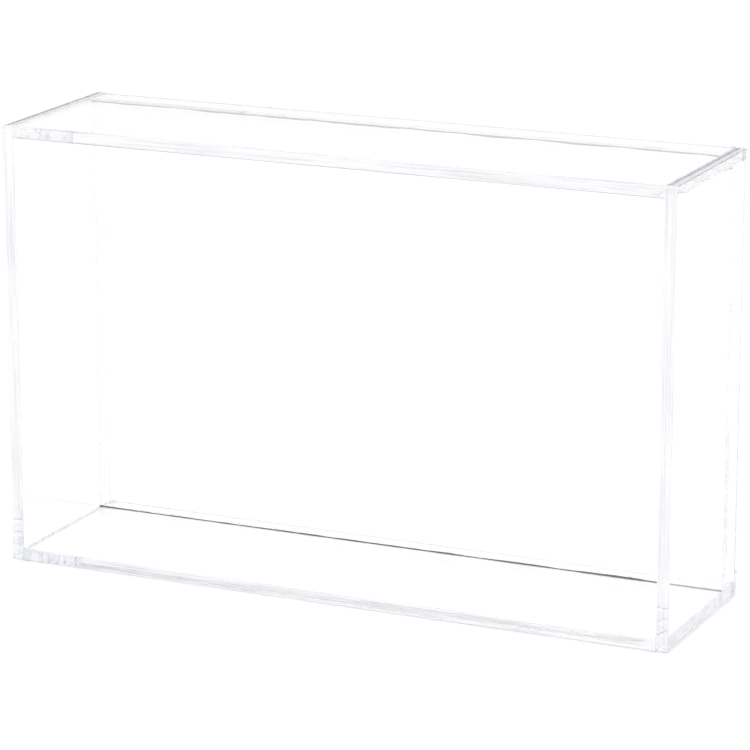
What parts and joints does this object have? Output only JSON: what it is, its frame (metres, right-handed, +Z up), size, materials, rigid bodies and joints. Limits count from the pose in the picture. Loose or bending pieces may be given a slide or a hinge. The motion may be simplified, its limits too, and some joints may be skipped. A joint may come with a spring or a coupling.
{
  "type": "card deck box",
  "caption": "Clear open-fronted slip case of bonded flat sheet that holds and displays one boxed card deck.",
  "frame": {"origin": "centre of the outer box in plan, at the bottom face that it stands on", "axes": "+X along the long side, to the right seen from the open front; +Y from the open front to the closed back; +Z up"},
  "size_m": [0.1328, 0.0368, 0.0843],
  "materials": {
    "clear_acrylic": "clear cast sheet, both faces glossy, edges polished",
    "solvent_cement": "cured clear solvent cement, faintly cloudy with fine bubbles"
  },
  "bodies": {
    "root": {"left_panel": "clear_acrylic", "right_panel": "clear_acrylic", "top_panel": "clear_acrylic", "bottom_panel": "clear_acrylic", "back_panel": "clear_acrylic", "seam_top_left": "solvent_cement", "seam_top_right": "solvent_cement", "seam_bottom_left": "solvent_cement", "seam_bottom_right": "solvent_cement", "seam_back_left": "solvent_cement", "seam_back_right": "solvent_cement", "seam_back_top": "solvent_cement", "seam_back_bottom": "solvent_cement"}
  },
  "joints": []
}
